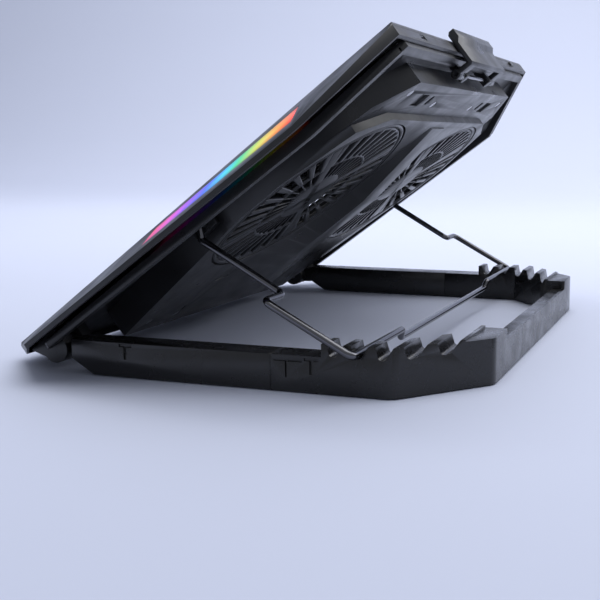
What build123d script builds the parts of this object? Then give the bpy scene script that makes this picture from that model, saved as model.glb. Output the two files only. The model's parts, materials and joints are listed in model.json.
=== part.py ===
"""Laptop cooling pad: a tilting fan deck on a notched base frame, held up by a folding wire bail."""

from math import cos, radians, sin
import os

from build123d import *

os.makedirs("parts", exist_ok=True)

# ---------------------------------------------------------------- driving dimensions (mm, degrees)
TILT = 37.5                 # deck slope when the bail stands in the second notch
DECK_WIDTH = 414.0          # across the two side edges
DECK_DEPTH = 286.0          # front lip to rear edge, measured up the slope
CREST_WIDTH = 316.0         # flat top between the two sloping side wings
FRONT_CORNER = 38.0         # slope distance at which the front corner facets end
REAR_CORNER_RUN = 57.0      # slope distance from the rear corner facets to the rear edge
WING_DROP_FRONT = 16.0      # fall of the side wing at its front corner
WING_DROP_REAR = 20.5       # fall of the side wing at its rear corner
END_BAND = 6.0              # height of the top cover's front and rear edges
SIDE_BAND = 2.6             # height of its side edges
RIM_DROP = 3.0              # bottom shell's rim below the top cover's edge
RIM_WIDTH = 5.0
RIM_INSET = 16.0            # bottom shell's rim, in from the deck's side edges
PLATE_DROP = 4.8            # bottom shell's plate below the top cover's inner face
LIP_HEIGHT = 10.9           # height of the front lip's top edge above the table
SKIN = 2.2                  # wall of the moulded shells
SHELL_GAP = 0.3             # gap between the two moulded deck shells

BASE_WIDTH = 357.0
BASE_REAR = 275.4           # rear face, measured from the front lip
CHAMFER_RUN = 41.0          # from where the base's rear corner facets begin to its rear face
CORNER_RADIUS = 9.0         # rounding of the base's rear corners, seen from above
REAR_FACE_WIDTH = 258.8
RAIL_WIDTH = 18.0
RAIL_HEIGHT = 19.6
RAIL_SEAM = 168.5           # joint between a side rail and the rear frame
RAIL_TOE = 62.5             # where the rail's flat underside begins
TOE_RUN = 13.6              # length and rise of the rail's sloping toe
TOE_HEIGHT = 9.1
REAR_RAIL_WIDTH = 9.0
BLOCK_HEIGHT = 25.4
BLOCK_END = 100.0           # half the gap between the two raised rear corner blocks
FOOT_PROUD = 0.8            # rubber foot below the base's underside
FOOT_RADIUS = 6.0
FOOT_RECESS = 0.6
TONGUE_LENGTH = 16.0        # rear frame's tongue inside the hollow side rail
TONGUE_GAP = 0.3

HINGE_Y = 38.0
HINGE_Z = 13.0
HINGE_PIN_RADIUS = 2.0
HINGE_KNUCKLE_RADIUS = 7.5
HINGE_TONGUE = 8.0          # width of the rail's tongue between the two deck bosses
HINGE_SIDE_GAP = 0.5
BOSS_WIDTH = 9.0
PIN_CAP = 1.5               # closed outer end of the hinge bore
PIN_END_GAP = 0.1
RUNNING_CLEARANCE = 0.05    # radial, round every pin, shaft and pivot

NOTCH_COUNT = 5
NOTCH_PITCH = 13.0
BAIL_NOTCH = 1              # index of the notch that the bail stands in
NOTCH_Z = 22.3              # height of the wire's centre when it stands in a notch
NOTCH_CLEARANCE = 0.5
TOOTH_HEIGHT = 26.4

WIRE_RADIUS = 2.0
BAIL_HOUSING_GAP = 1.3      # between the bail's leg and the fan housing
BAIL_OVERHANG = 7.4         # centre of the bail's foot corner beyond the base's side
BAIL_PIVOT_ALONG = 140.0    # slope distance of the bail's pivot from the front lip
BAIL_PIVOT_DEPTH = 15.5     # pivot below the deck's top plane
BAIL_KNEE_ALONG = 136.0     # first bend of the leg, below the pivot
BAIL_KNEE_DEPTH = 23.4
BAIL_END = 11.0             # length of the wire's turned-in end
CLIP_WIDTH = 14.0
CLIP_SIDE_GAP = 0.6
BAIL_FOOT_Y = 216.2
BAIL_JOG_Y = 169.3
BAIL_JOG_Z = 48.0
BAIL_MIDDLE_HALF = 105.0
BAIL_MIDDLE_DROP = 5.0
BAIL_BEND = 4.0

FAN_OFFSET = 87.7
FAN_ALONG = 172.9
GUARD_RADIUS = 68.5
GUARD_DEPTH = 27.2          # guard's lower face below the deck's top plane
GUARD_THICKNESS = 3.0
GUARD_GAP = 0.3
GUARD_WINDOW = 37.0         # outer radius of the openings round the hub plate
GUARD_RIB = 7.0
GUARD_SLOT_MIDDLE = 51.0
GUARD_SLOT_LENGTH = 21.0
GUARD_SLOT_WIDTH = 3.6
HOUSING_RIM = 3.0           # fan housing beyond the guard
ROTOR_RADIUS = 61.0
ROTOR_HEIGHT = 11.0
ROTOR_TOP = 7.0
HUB_RADIUS = 19.0
SHAFT_RADIUS = 1.5
SLOT_COUNT = 36
BLADE_COUNT = 9
BLADE_THICKNESS = 1.6
BODY_DEPTH = 27.2           # fan housing and front panel below the top plane
PLATEAU_DEPTH = 22.4        # rear panel below the top plane
SPINE_DEPTH = 36.5          # raised spine between the fans, at its lowest
SPINE_END_DEPTH = 28.0
SPINE_HALF = 13.0           # half width of the spine's lower face
SPINE_FOOT_GAP = 1.5        # between the spine's foot and the guard's seat

MESH_SIDE_MARGIN = 18.0     # from the mesh to the crest of the side wing
MESH_FRONT = 52.0
MESH_REAR_MARGIN = 28.0
MESH_CORNER = 30.0
MESH_THICKNESS = 0.8
MESH_LEDGE = 4.0

LIGHT_START = 122.0         # side light diffuser, along the slope
LIGHT_END_GAP = 3.0         # from the diffuser to the rear corner facets
LIGHT_WIDTH = 24.0
LIGHT_THICKNESS = 1.6

STOPPER_OFFSET = 104.0
STOPPER_LENGTH = 92.0
STOPPER_WIDTH = 15.0
STOPPER_ALONG = 14.0
STOPPER_THICKNESS = 5.0
STOPPER_PROUD = 2.2
STOPPER_PIN_RADIUS = 1.0

PAD_WIDTH = 8.0
PAD_THICKNESS = 1.2
PAD_RECESS = 0.6

REST_HALF_WIDTH = 46.0      # flip-out phone rest at the rear edge
REST_PLATE = 5.0            # thickness of its upper bar, and of the web below it
REST_WEB = 2.8
REST_BAR = 5.4              # height of the upper bar
REST_RISE = 5.0
REST_LUG_WIDTH = 6.0
REST_LUG_REACH = 3.0
REST_ARM = 3.0
REST_ARM_WIDTH = 12.0
REST_PIN_RADIUS = 1.2
REST_HINGE_MARGIN = 9.0     # from the rest's hinge to the rear edge
REST_HINGE_DEPTH = 17.0
REST_GAP = 0.6

BOARD_THICKNESS = 0.8
SOCKET_OFFSET = 112.0       # USB socket and light button, either side of the centre
SOCKET_WIDTH = 9.0
SOCKET_HEIGHT = 3.4
SOCKET_LENGTH = 8.0
MOUTH_WIDTH = 7.6
MOUTH_HEIGHT = 2.0
MOUTH_DEPTH = 5.5
BUTTON_WIDTH = 8.0
BUTTON_HEIGHT = 3.0
BUTTON_PROUD = 1.2
BUTTON_TRAVEL = 0.8
BUTTON_GAP = 0.3
SCREW_HEAD_RADIUS = 2.6
SCREW_SHANK_RADIUS = 1.2
SCREW_LENGTH = 8.0
SCREW_HEAD_HEIGHT = 1.2

# ---------------------------------------------------------------- derived places
FRAME_SHIFT = -BASE_REAR / 2      # puts the origin under the middle of the whole object
SLOPE = radians(TILT)
DECK = Plane(
    origin=(0, FRAME_SHIFT, LIP_HEIGHT), x_dir=(1, 0, 0), z_dir=(0, -sin(SLOPE), cos(SLOPE))
)
REAR_CORNER = DECK_DEPTH - REAR_CORNER_RUN
CHAMFER_START = BASE_REAR - CHAMFER_RUN
HALF_CREST = CREST_WIDTH / 2
HALF_DECK = DECK_WIDTH / 2
CORNER_STEP = 2.0                 # crest and edge stand this far apart at the deck's four tips
HINGE_ALONG = HINGE_Y * cos(SLOPE) + (HINGE_Z - LIP_HEIGHT) * sin(SLOPE)
HINGE_DEPTH = HINGE_Y * sin(SLOPE) - (HINGE_Z - LIP_HEIGHT) * cos(SLOPE)
GUARD_TOP = GUARD_DEPTH - GUARD_THICKNESS
HOUSING_SIDE = FAN_OFFSET + GUARD_RADIUS + HOUSING_RIM
BAIL_HALF_PIVOT = HOUSING_SIDE + WIRE_RADIUS + BAIL_HOUSING_GAP
BAIL_HALF_FOOT = BASE_WIDTH / 2 + BAIL_OVERHANG
MESH_HALF_WIDTH = HALF_CREST - MESH_SIDE_MARGIN
MESH_REAR = DECK_DEPTH - MESH_REAR_MARGIN
LIGHT_END = REAR_CORNER - LIGHT_END_GAP
PLATE_DEPTH = SKIN + PLATE_DROP
SOCKET_CENTRE_DEPTH = PLATE_DEPTH - BOARD_THICKNESS - SOCKET_HEIGHT / 2
STOPPER_HINGE_ALONG = STOPPER_ALONG - STOPPER_WIDTH / 2 + STOPPER_THICKNESS / 2
STOPPER_HINGE_DEPTH = STOPPER_THICKNESS / 2 - STOPPER_PROUD
REST_HINGE_ALONG = DECK_DEPTH - REST_HINGE_MARGIN
REST_ARM_MIDDLE = REST_HALF_WIDTH - REST_ARM_WIDTH / 2
REST_PLATE_START = DECK_DEPTH + REST_GAP
TONGUE_INNER = BASE_WIDTH / 2 - RAIL_WIDTH
TONGUE_OUTER = TONGUE_INNER + HINGE_TONGUE
FIRST_NOTCH_Y = BAIL_FOOT_Y - BAIL_NOTCH * NOTCH_PITCH


def save(name, shape):
    shape.label = name
    export_step(shape, f"parts/{name}.step")


def on_table(shape):
    """Place a shape drawn with Y measured from the front lip."""
    return Pos(0, FRAME_SHIFT, 0) * shape


def on_deck(shape):
    """Place a shape drawn in the deck's own frame: X across, Y up the slope, Z off its top plane."""
    return DECK.location * shape


def prism(points, low, high):
    """Upright prism over a closed outline of (x, y) points."""
    return Pos(0, 0, low) * extrude(make_face(Polyline(*points, close=True)), high - low)


def block(x0, x1, y0, y1, z0, z1):
    return Pos((x0 + x1) / 2, (y0 + y1) / 2, (z0 + z1) / 2) * Box(x1 - x0, y1 - y0, z1 - z0)


def rod(x0, x1, y, z, radius):
    """Cylinder along X."""
    return Pos((x0 + x1) / 2, y, z) * Rot(0, 90, 0) * Cylinder(radius, x1 - x0)


def slab_across(points, x0, x1):
    """Solid across X from x0 to x1, over a closed outline of (y, z) points."""
    face = make_face(Polyline(*[(x0, y, z) for y, z in points], close=True))
    return extrude(face, amount=x1 - x0, dir=(1, 0, 0))


def pair(shape):
    """The shape and its mirror image in the centre plane."""
    return [shape, mirror(shape, Plane.YZ)]


def mirrored_if(left, shape):
    return mirror(shape, Plane.YZ) if left else shape


def outline(half_points):
    """Closed outline from the points of its right half, listed front to rear."""
    return half_points + [(-x, y) for x, y in reversed(half_points)]


# ---------------------------------------------------------------- deck form
def edge_at(along):
    """Half width, fall and height of the deck's outer edge at a distance up the slope."""
    stations = (
        (0.0, HALF_CREST + CORNER_STEP, CORNER_STEP, END_BAND),
        (FRONT_CORNER, HALF_DECK, WING_DROP_FRONT, SIDE_BAND),
        (REAR_CORNER, HALF_DECK, WING_DROP_REAR, SIDE_BAND),
        (DECK_DEPTH, HALF_CREST + CORNER_STEP, CORNER_STEP, END_BAND),
    )
    for (a, *before), (b, *after) in zip(stations, stations[1:]):
        if along <= b:
            t = (along - a) / (b - a)
            return [low + t * (high - low) for low, high in zip(before, after)]
    raise ValueError("beyond the deck's rear edge")


def wing_depth(x, along):
    """Depth of the deck's outer skin below the top plane, at a place across and along it."""
    half, fall, _ = edge_at(along)
    return max(0.0, (abs(x) - HALF_CREST) / (half - HALF_CREST)) * fall


def deck_hull(inset, upper, lower, front=0.0, rear=DECK_DEPTH, flat_bottom=None):
    """Solid under the deck's skin: upper is its depth under the skin, lower its depth under the band."""
    stations = [front, FRONT_CORNER, REAR_CORNER, rear]
    solids = []
    for a, b in zip(stations, stations[1:]):
        faces = []
        for along in (a, b):
            half, fall, band = edge_at(along)
            outer = half - inset
            side = wing_depth(outer, along) + upper
            bottom = flat_bottom if flat_bottom is not None else fall + band + lower
            crest = min(HALF_CREST, outer - 1)
            points = [(crest, -upper), (outer, -side), (outer, -bottom)]
            loop = points + [(-x, z) for x, z in reversed(points)]
            faces.append(
                make_face(Polyline(*[(x, along, z) for x, z in loop], close=True))
            )
        solids.append(loft(faces, ruled=True))
    return solids[0].fuse(*solids[1:]).clean()


def body_outline(shrink=0.0):
    """Fan housing and front panel, right half from front to rear."""
    return outline([
        (118 - shrink, 34 + shrink),
        (FAN_OFFSET + 60 - shrink, 126),
        (HOUSING_SIDE - shrink, FAN_ALONG - 16),
        (HOUSING_SIDE - shrink, FAN_ALONG + 16),
        (FAN_OFFSET + 52 - shrink, FAN_ALONG + GUARD_RADIUS - 8 - shrink),
        (FAN_OFFSET + 20 - shrink, FAN_ALONG + GUARD_RADIUS + 4 - shrink),
    ])


def plateau_outline(shrink=0.0):
    """Rear panel, right half from front to rear."""
    return outline([
        (150 - shrink, DECK_DEPTH - 86),
        (140 - shrink, DECK_DEPTH - 38 - shrink),
        (112 - shrink, DECK_DEPTH - 15 - shrink),
    ])


def spine_foot(along):
    """Half width of the spine's foot, which flares towards the front and clears the guards' seats."""
    seat = GUARD_RADIUS + GUARD_GAP + SPINE_FOOT_GAP
    from_fan = abs(along - FAN_ALONG)
    if from_fan < seat:
        clear = FAN_OFFSET - (seat ** 2 - from_fan ** 2) ** 0.5
    else:
        clear = FAN_OFFSET
    return min(60.0 if along < FAN_ALONG else 17.0, clear)


def spine(shrink=0.0):
    """Raised spine under the front panel and between the fans."""
    rear = FAN_ALONG + GUARD_RADIUS - 2
    stations = [(37 + shrink, SPINE_END_DEPTH), (62, SPINE_DEPTH)]
    stations += [(along, SPINE_DEPTH) for along in (100, 112, 124, 136, 150, FAN_ALONG)]
    stations += [(rear - shrink, SPINE_END_DEPTH)]
    faces = []
    for along, depth in stations:
        foot = spine_foot(along) - shrink
        half = min(SPINE_HALF - shrink, foot - 1)
        top = -BODY_DEPTH + SKIN + (0.5 if shrink else -SKIN / 2)
        loop = [(foot, top), (foot, -BODY_DEPTH + shrink), (half, -depth + shrink)]
        loop += [(-x, z) for x, z in reversed(loop)]
        faces.append(make_face(Polyline(*[(x, along, z) for x, z in loop], close=True)))
    return loft(faces, ruled=True)


# ---------------------------------------------------------------- deck shells
def mesh_outline(grow=0.0):
    return outline([
        (MESH_HALF_WIDTH - MESH_CORNER + grow, MESH_FRONT - grow),
        (MESH_HALF_WIDTH + grow, MESH_FRONT + MESH_CORNER),
        (MESH_HALF_WIDTH + grow, MESH_REAR - MESH_CORNER),
        (MESH_HALF_WIDTH - MESH_CORNER + grow, MESH_REAR + grow),
    ])


def light_bar(grow, top, thickness):
    """Bar along the right wing, parallel to its skin: top is its depth under the skin."""
    faces = []
    middle = (HALF_CREST + HALF_DECK) / 2
    half = LIGHT_WIDTH / 2 + grow
    for along in (LIGHT_START - grow, LIGHT_END + grow):
        inner, outer = middle - half, middle + half
        loop = [
            (inner, -wing_depth(inner, along) - top),
            (outer, -wing_depth(outer, along) - top),
            (outer, -wing_depth(outer, along) - top - thickness),
            (inner, -wing_depth(inner, along) - top - thickness),
        ]
        faces.append(make_face(Polyline(*[(x, along, z) for x, z in loop], close=True)))
    return loft(faces, ruled=True)


def stopper_box(grow, depth, top):
    """Right laptop stopper's space in the top cover."""
    return block(
        STOPPER_OFFSET - STOPPER_LENGTH / 2 - grow, STOPPER_OFFSET + STOPPER_LENGTH / 2 + grow,
        STOPPER_ALONG - STOPPER_WIDTH / 2 - grow, STOPPER_ALONG + STOPPER_WIDTH / 2 + grow,
        -depth, top,
    )


def top_cover():
    cover = deck_hull(0, 0, 0)
    cover -= deck_hull(SKIN, SKIN, END_BAND, front=SKIN, rear=DECK_DEPTH - SKIN)
    cover -= prism(mesh_outline(-MESH_LEDGE), -2 * SKIN, SKIN)
    cover -= prism(mesh_outline(SHELL_GAP), -MESH_THICKNESS, SKIN)
    floor = STOPPER_THICKNESS - STOPPER_PROUD + SHELL_GAP
    for side in pair(stopper_box(SKIN, floor + SKIN, -SKIN / 2)):
        cover += side
    for side in pair(stopper_box(SHELL_GAP, floor, SKIN)):
        cover -= side
    pin_reach = STOPPER_LENGTH / 2 + SKIN
    for side in (1, -1):
        cover -= rod(
            side * STOPPER_OFFSET - pin_reach, side * STOPPER_OFFSET + pin_reach,
            STOPPER_HINGE_ALONG, -STOPPER_HINGE_DEPTH, STOPPER_PIN_RADIUS,
        )
    for side in pair(light_bar(SHELL_GAP / 2, -1, SKIN + 2)):
        cover -= side
    for pad in grip_pads():
        cover -= pad
    cover -= block(
        SOCKET_OFFSET - SOCKET_WIDTH / 2, SOCKET_OFFSET + SOCKET_WIDTH / 2,
        DECK_DEPTH - 2 * SKIN, DECK_DEPTH + 1,
        -SOCKET_CENTRE_DEPTH - SOCKET_HEIGHT / 2, -SOCKET_CENTRE_DEPTH + SOCKET_HEIGHT / 2,
    )
    cover -= button_space(BUTTON_GAP)
    return cover


def button_space(gap):
    centre = -SOCKET_CENTRE_DEPTH
    return block(
        -SOCKET_OFFSET - BUTTON_WIDTH / 2 - gap, -SOCKET_OFFSET + BUTTON_WIDTH / 2 + gap,
        DECK_DEPTH - 2 * SKIN, DECK_DEPTH + BUTTON_PROUD,
        centre - BUTTON_HEIGHT / 2 - gap, centre + BUTTON_HEIGHT / 2 + gap,
    )


def grip_pads():
    """Rubber strips beside the mesh."""
    middle = (MESH_HALF_WIDTH + HALF_CREST) / 2
    pads = []
    for start, end in ((62, 108), (200, 246)):
        pad = block(
            middle - PAD_WIDTH / 2, middle + PAD_WIDTH / 2, start, end,
            -PAD_RECESS, PAD_THICKNESS - PAD_RECESS,
        )
        pads += pair(pad)
    return pads


def clip_box(gap=0.0):
    """Right bail clip, let into the corner between the bottom shell's plate and fan housing."""
    inner = BAIL_HALF_PIVOT - WIRE_RADIUS - CLIP_SIDE_GAP - CLIP_WIDTH
    return block(
        inner - gap, inner + CLIP_WIDTH + gap,
        BAIL_PIVOT_ALONG - 8 - gap, BAIL_PIVOT_ALONG + 8 + gap,
        -BAIL_PIVOT_DEPTH - 5.5 - gap, -PLATE_DEPTH - SKIN - 0.1,
    )


def deck_screw_places():
    """Place and floor depth of each screw in the deck's underside."""
    places = [(side * 104, 46, BODY_DEPTH) for side in (1, -1)]
    places += [(side * 72, 46, BODY_DEPTH) for side in (1, -1)]
    places += [(side * 45, DECK_DEPTH - 31, PLATEAU_DEPTH) for side in (1, -1)]
    places += [(side * 108, DECK_DEPTH - 24, PLATEAU_DEPTH) for side in (1, -1)]
    return places


def screw_solid(x, along, depth, gap=0.0):
    head = Pos(x, along, -depth + SCREW_HEAD_HEIGHT / 2) * Cylinder(
        SCREW_HEAD_RADIUS + gap, SCREW_HEAD_HEIGHT)
    shank = Pos(x, along, -depth + SCREW_HEAD_HEIGHT + SCREW_LENGTH / 2) * Cylinder(
        SCREW_SHANK_RADIUS + gap / 2, SCREW_LENGTH)
    return head + shank


def bottom_shell():
    end = SKIN + SHELL_GAP
    rim = deck_hull(RIM_INSET, PLATE_DEPTH, RIM_DROP, front=end, rear=DECK_DEPTH - end)
    rim -= deck_hull(
        RIM_INSET + RIM_WIDTH, PLATE_DEPTH + SKIN, 0,
        front=end + RIM_WIDTH, rear=DECK_DEPTH - end - RIM_WIDTH, flat_bottom=2 * BODY_DEPTH,
    )
    deep = PLATE_DEPTH + SKIN / 2
    body = prism(body_outline(), -BODY_DEPTH, -deep)
    body += prism(plateau_outline(), -PLATEAU_DEPTH, -deep)
    body += spine()
    hollow = prism(body_outline(SKIN), -BODY_DEPTH + SKIN, -PLATE_DEPTH + 1)
    hollow += prism(plateau_outline(SKIN), -PLATEAU_DEPTH + SKIN, -PLATE_DEPTH + 1)
    hollow += spine(SKIN)
    shell = rim + body - hollow
    for side in (1, -1):
        centre = Pos(side * FAN_OFFSET, FAN_ALONG, 0)
        seat = GUARD_RADIUS + GUARD_GAP
        shell += centre * Pos(0, 0, -GUARD_TOP + SKIN / 2) * Cylinder(seat + 1, SKIN)
        shell -= centre * Pos(0, 0, -BODY_DEPTH / 2) * Cylinder(GUARD_RADIUS - 3, 2 * BODY_DEPTH)
        shell -= centre * Pos(0, 0, -GUARD_TOP - GUARD_THICKNESS) * Cylinder(
            seat, 2 * GUARD_THICKNESS)
    for side in pair(clip_box()):
        shell -= side
    for side in (1, -1):
        shell += hinge_boss(side)
    for lug in rest_lugs():
        shell += lug
    for place in deck_screw_places():
        shell -= screw_solid(*place, gap=0.2)
    return shell


# ---------------------------------------------------------------- deck to base hinge
def hinge_boss(side):
    """Two bosses on the deck, either side of the rail's tongue, bored for the hinge pin."""
    boss = Part()
    spans = (
        (TONGUE_INNER - HINGE_SIDE_GAP - BOSS_WIDTH, TONGUE_INNER - HINGE_SIDE_GAP),
        (TONGUE_OUTER + HINGE_SIDE_GAP, TONGUE_OUTER + HINGE_SIDE_GAP + BOSS_WIDTH),
    )
    radius = HINGE_KNUCKLE_RADIUS
    for x0, x1 in spans:
        root = -wing_depth(x0, HINGE_ALONG) - PLATE_DEPTH - SKIN + 0.3
        boss += slab_across(
            [
                (HINGE_ALONG - radius - 6, root), (HINGE_ALONG - radius, -HINGE_DEPTH),
                (HINGE_ALONG + radius, -HINGE_DEPTH), (HINGE_ALONG + radius, root),
            ],
            x0, x1,
        )
        boss += rod(x0, x1, HINGE_ALONG, -HINGE_DEPTH, radius)
    boss -= rod(spans[0][0] - 1, spans[1][1] - PIN_CAP, HINGE_ALONG, -HINGE_DEPTH,
                HINGE_PIN_RADIUS + RUNNING_CLEARANCE)
    return mirrored_if(side < 0, boss)


def hinge_pin(side):
    reach = HINGE_SIDE_GAP + BOSS_WIDTH
    pin = rod(TONGUE_INNER - reach, TONGUE_OUTER + reach - PIN_CAP - PIN_END_GAP,
              HINGE_Y, HINGE_Z, HINGE_PIN_RADIUS)
    return mirrored_if(side < 0, pin)


# ---------------------------------------------------------------- rear phone rest
def rest_lugs():
    """Lugs under the bottom shell's rear rim that carry the phone rest's pin."""
    lugs = []
    inner = REST_ARM_MIDDLE - REST_ARM_WIDTH / 2 - REST_GAP - REST_LUG_WIDTH
    lug = slab_across(
        [
            (REST_HINGE_ALONG - REST_LUG_REACH, -PLATE_DEPTH - SKIN / 2),
            (REST_HINGE_ALONG - REST_LUG_REACH, -REST_HINGE_DEPTH - REST_LUG_REACH),
            (REST_HINGE_ALONG + REST_LUG_REACH, -REST_HINGE_DEPTH - REST_LUG_REACH),
            (REST_HINGE_ALONG + REST_LUG_REACH, -PLATE_DEPTH - SKIN / 2),
        ],
        inner, inner + REST_LUG_WIDTH,
    )
    lug -= rod(inner - 1, inner + REST_LUG_WIDTH + 1, REST_HINGE_ALONG, -REST_HINGE_DEPTH,
               REST_PIN_RADIUS + RUNNING_CLEARANCE)
    lugs += pair(lug)
    return lugs


def phone_rest():
    top = REST_RISE
    low = -REST_HINGE_DEPTH - REST_ARM / 2
    web = REST_PLATE_START + REST_WEB
    bar = REST_PLATE_START + REST_PLATE
    plate = slab_across(
        [
            (REST_PLATE_START, top - REST_PLATE / 3), (REST_PLATE_START + REST_PLATE / 3, top),
            (bar, top), (bar, top - REST_BAR), (web, top - REST_BAR - REST_WEB),
            (web, low + REST_WEB / 2), (web - REST_WEB / 2, low), (REST_PLATE_START, low),
        ],
        -REST_HALF_WIDTH, REST_HALF_WIDTH,
    )
    arm = block(
        REST_ARM_MIDDLE - REST_ARM_WIDTH / 2, REST_ARM_MIDDLE + REST_ARM_WIDTH / 2,
        REST_HINGE_ALONG, REST_PLATE_START + 1, low, low + REST_ARM,
    )
    arm += rod(REST_ARM_MIDDLE - REST_ARM_WIDTH / 2, REST_ARM_MIDDLE + REST_ARM_WIDTH / 2,
               REST_HINGE_ALONG, -REST_HINGE_DEPTH, REST_ARM)
    for side in pair(arm):
        plate += side
    plate -= rod(-REST_HALF_WIDTH, REST_HALF_WIDTH, REST_HINGE_ALONG, -REST_HINGE_DEPTH,
                 REST_PIN_RADIUS)
    return plate


def rest_pin():
    return rod(-REST_HALF_WIDTH, REST_HALF_WIDTH, REST_HINGE_ALONG, -REST_HINGE_DEPTH,
               REST_PIN_RADIUS)


# ---------------------------------------------------------------- fans
def guard():
    """Fan guard: slotted outer ring, four crossed ribs and a hub plate."""
    disc = Cylinder(GUARD_RADIUS, GUARD_THICKNESS)
    window = Cylinder(GUARD_WINDOW, 2 * GUARD_THICKNESS) - Cylinder(HUB_RADIUS + 2, 3 * GUARD_THICKNESS)
    for turn in (45, 135):
        window -= Rot(0, 0, turn) * Box(2 * GUARD_RADIUS, GUARD_RIB, 3 * GUARD_THICKNESS)
    disc -= window
    slot = Pos(GUARD_SLOT_MIDDLE, 0, 0) * Box(
        GUARD_SLOT_LENGTH, GUARD_SLOT_WIDTH, 2 * GUARD_THICKNESS)
    disc -= [Rot(0, 0, step * 360 / SLOT_COUNT) * slot for step in range(SLOT_COUNT)]
    return Pos(0, 0, -GUARD_TOP - GUARD_THICKNESS / 2) * disc


def motor():
    """Stator fixed to the guard's hub plate, bored for the fan's shaft."""
    base = Pos(0, 0, -GUARD_TOP + 1) * Cylinder(HUB_RADIUS - 2, 2)
    core = Pos(0, 0, -ROTOR_TOP - 4 - 5) * Cylinder(HUB_RADIUS - 6, 10)
    neck_low = -GUARD_TOP + 2
    neck_high = -ROTOR_TOP - 14
    neck = Pos(0, 0, (neck_low + neck_high) / 2) * Cylinder(8, neck_high - neck_low + 0.02)
    bore = Pos(0, 0, -ROTOR_TOP - 4 - 5) * Cylinder(SHAFT_RADIUS + RUNNING_CLEARANCE, 24)
    return base + neck + core - bore


def shaft():
    return Pos(0, 0, -ROTOR_TOP - 8) * Cylinder(SHAFT_RADIUS, 14)


def rotor():
    middle = -ROTOR_TOP - ROTOR_HEIGHT / 2
    hub = Pos(0, 0, middle) * Cylinder(HUB_RADIUS, ROTOR_HEIGHT)
    blade_length = ROTOR_RADIUS - HUB_RADIUS + 2
    blade = Pos(HUB_RADIUS - 2 + blade_length / 2, 0, middle) * Rot(32, 0, 0) * Box(
        blade_length, ROTOR_HEIGHT / sin(radians(32)) * 0.9, BLADE_THICKNESS)
    blades = [Rot(0, 0, step * 360 / BLADE_COUNT) * blade for step in range(BLADE_COUNT)]
    wheel = hub + blades
    wheel &= Pos(0, 0, middle) * Cylinder(ROTOR_RADIUS, ROTOR_HEIGHT)
    wheel -= Pos(0, 0, middle - 2) * Cylinder(HUB_RADIUS - 3, ROTOR_HEIGHT)
    wheel -= Pos(0, 0, middle) * Cylinder(SHAFT_RADIUS, 2 * ROTOR_HEIGHT)
    return wheel


def at_fan(side, shape):
    return on_deck(Pos(side * FAN_OFFSET, FAN_ALONG, 0) * shape)


# ---------------------------------------------------------------- light bars, board, socket, button
def control_board():
    return block(-SOCKET_OFFSET - 10, SOCKET_OFFSET + 10, DECK_DEPTH - 15, DECK_DEPTH - 3,
                 -PLATE_DEPTH, -PLATE_DEPTH + BOARD_THICKNESS)


def usb_socket():
    depth = SOCKET_CENTRE_DEPTH
    shell = block(
        SOCKET_OFFSET - SOCKET_WIDTH / 2, SOCKET_OFFSET + SOCKET_WIDTH / 2,
        DECK_DEPTH - 0.4 - SOCKET_LENGTH, DECK_DEPTH - 0.4,
        -depth - SOCKET_HEIGHT / 2, -depth + SOCKET_HEIGHT / 2,
    )
    shell -= block(
        SOCKET_OFFSET - MOUTH_WIDTH / 2, SOCKET_OFFSET + MOUTH_WIDTH / 2,
        DECK_DEPTH - 0.4 - MOUTH_DEPTH, DECK_DEPTH,
        -depth - MOUTH_HEIGHT / 2, -depth + MOUTH_HEIGHT / 2,
    )
    return shell


def light_button():
    cap = button_space(0)
    stem = block(
        -SOCKET_OFFSET - 1.5, -SOCKET_OFFSET + 1.5, DECK_DEPTH - 8, DECK_DEPTH - 2 * SKIN + 0.1,
        -SOCKET_CENTRE_DEPTH - 0.8, -SOCKET_CENTRE_DEPTH + 0.8,
    )
    return cap + stem


def button_switch():
    """Push switch on the board behind the button."""
    rear = DECK_DEPTH - 8 - BUTTON_TRAVEL - 0.1
    return block(-SOCKET_OFFSET - 3, -SOCKET_OFFSET + 3, rear - 5, rear,
                 -PLATE_DEPTH + BOARD_THICKNESS, -SKIN - 0.5)


# ---------------------------------------------------------------- laptop stoppers
def stopper(side):
    lower = -(STOPPER_THICKNESS - STOPPER_PROUD)
    radius = STOPPER_THICKNESS / 2
    far = STOPPER_ALONG + STOPPER_WIDTH / 2
    x0 = STOPPER_OFFSET - STOPPER_LENGTH / 2
    x1 = STOPPER_OFFSET + STOPPER_LENGTH / 2
    bar = slab_across(
        [
            (STOPPER_HINGE_ALONG, lower), (far, lower), (far, STOPPER_PROUD - 1.5),
            (far - 1.5, STOPPER_PROUD), (STOPPER_HINGE_ALONG, STOPPER_PROUD),
        ],
        x0, x1,
    )
    bar += rod(x0, x1, STOPPER_HINGE_ALONG, -STOPPER_HINGE_DEPTH, radius)
    bar -= rod(x0 - 1, x1 + 1, STOPPER_HINGE_ALONG, -STOPPER_HINGE_DEPTH,
               STOPPER_PIN_RADIUS + RUNNING_CLEARANCE)
    return mirrored_if(side < 0, bar)


def stopper_pin(side):
    reach = STOPPER_LENGTH / 2 + SKIN
    pin = rod(STOPPER_OFFSET - reach, STOPPER_OFFSET + reach, STOPPER_HINGE_ALONG,
              -STOPPER_HINGE_DEPTH, STOPPER_PIN_RADIUS)
    return mirrored_if(side < 0, pin)


# ---------------------------------------------------------------- bail
def deck_point(x, along, depth):
    """A place given in the deck's frame, as a world point."""
    point = DECK.from_local_coords(Vector(x, along, -depth))
    return (point.X, point.Y, point.Z)


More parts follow.
